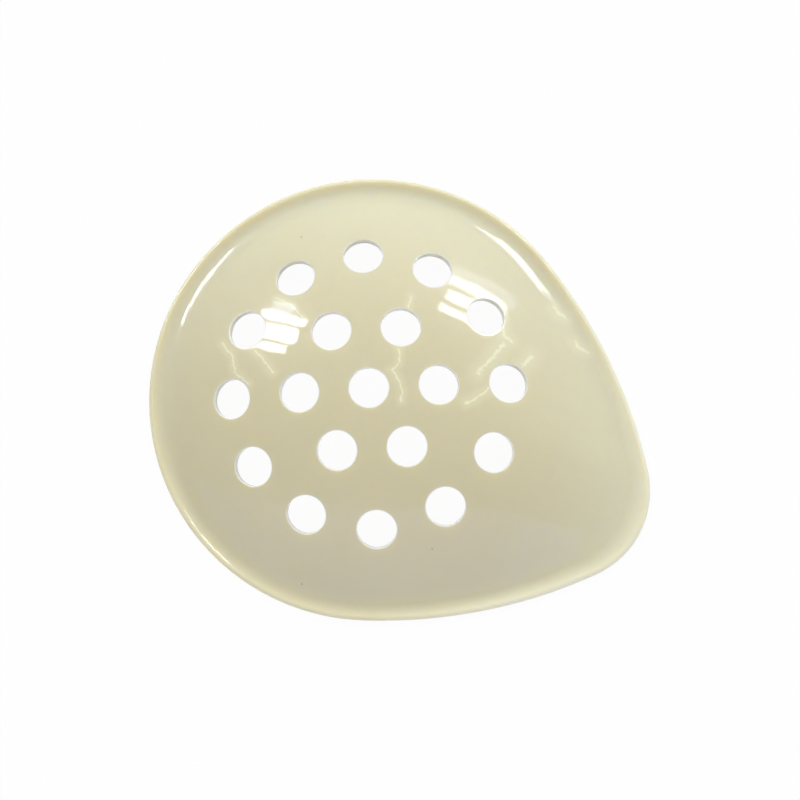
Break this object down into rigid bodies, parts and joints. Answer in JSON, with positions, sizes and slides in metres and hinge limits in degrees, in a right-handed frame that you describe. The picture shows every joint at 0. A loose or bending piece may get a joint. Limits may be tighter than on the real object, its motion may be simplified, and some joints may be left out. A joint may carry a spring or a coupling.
{
  "type": "surgical eye shield",
  "caption": "Teardrop-shaped domed shell with a flared rim and round air holes, taped over the eye to guard it after surgery.",
  "frame": {"origin": "under the middle of the shield's outline, on the surface its rim rests on", "axes": "+X along the shield towards its small end, +Y across it, +Z away from the face, up from the surface it rests on"},
  "size_m": [0.0802, 0.0686, 0.0101],
  "materials": {
    "shell": "glossy moulded cream plastic with faint flow marks"
  },
  "bodies": {
    "root": {"shield_shell": "shell"}
  },
  "joints": []
}
